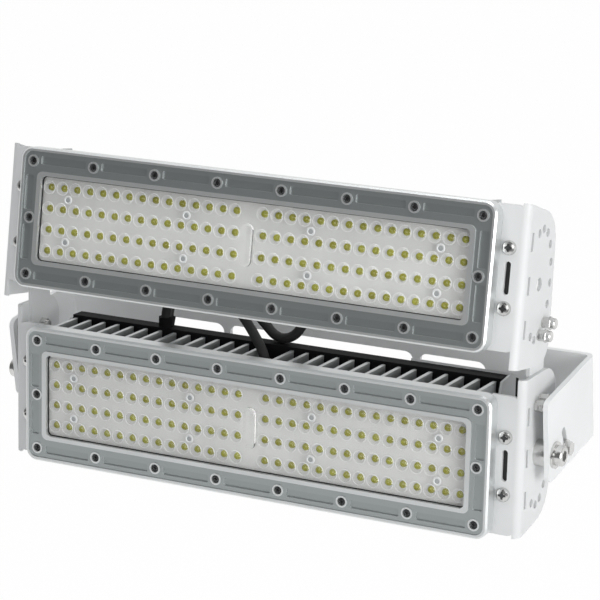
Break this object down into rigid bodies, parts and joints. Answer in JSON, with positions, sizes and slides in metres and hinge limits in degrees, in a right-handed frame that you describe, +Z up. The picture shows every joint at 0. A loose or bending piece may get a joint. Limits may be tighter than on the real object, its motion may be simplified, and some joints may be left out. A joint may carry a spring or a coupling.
{
  "type": "twin module LED floodlight head with yoke bracket",
  "caption": "Floodlight head: stacked finned LED modules with lens arrays between slotted side plates, tilting on pivot bolts in a U-shaped yoke that bolts to a wall or pole crossarm.",
  "frame": {"origin": "on the yoke's rear face, in the middle of its lower strip", "axes": "+Y is the rear face's outward normal, away from the light; +X to the right as seen from the front; +Z up"},
  "size_m": [0.4962, 0.1448, 0.2662],
  "materials": {
    "white_coat": "satin powder coat, very light grey, nearly white",
    "grey_coat": "satin silver-grey coat on die cast aluminium",
    "clear_lens": "clear moulded polycarbonate",
    "board_white": "white solder mask on an aluminium board",
    "black_rubber": "matt black",
    "zinc_steel": "bright zinc plate",
    "black_housing": "matt black coat"
  },
  "bodies": {
    "yoke": {"yoke_bracket": "white_coat"},
    "head": {"link_bolts_left": "zinc_steel", "link_bolts_right": "zinc_steel", "link_plate_left": "white_coat", "link_plate_right": "white_coat", "lock_bolt_left": "zinc_steel", "lock_bolt_right": "zinc_steel", "lower_circuit_board": "board_white", "lower_front_frame": "grey_coat", "lower_gasket": "black_rubber", "lower_gland": "black_housing", "lower_heat_sink": "grey_coat", "lower_lead": "black_rubber", "lower_lens_plate": "clear_lens", "lower_side_plate_left": "white_coat", "lower_side_plate_right": "white_coat", "pivot_bolt_left": "zinc_steel", "pivot_bolt_right": "zinc_steel", "pivot_spacer_left": "zinc_steel", "pivot_spacer_right": "zinc_steel", "supply_box": "black_housing", "supply_bracket_left": "white_coat", "supply_bracket_right": "white_coat", "supply_glands": "black_housing", "upper_circuit_board": "board_white", "upper_front_frame": "grey_coat", "upper_gasket": "black_rubber", "upper_gland": "black_housing", "upper_heat_sink": "grey_coat", "upper_lead": "black_rubber", "upper_lens_plate": "clear_lens", "upper_side_plate_left": "white_coat", "upper_side_plate_right": "white_coat"}
  },
  "joints": [
    {"name": "head_tilt", "type": "hinge", "parent": "yoke", "child": "head", "pos_m": [0, -0.088, 0.01], "axis": [1, 0, 0], "range_deg": [-14, 40]}
  ]
}
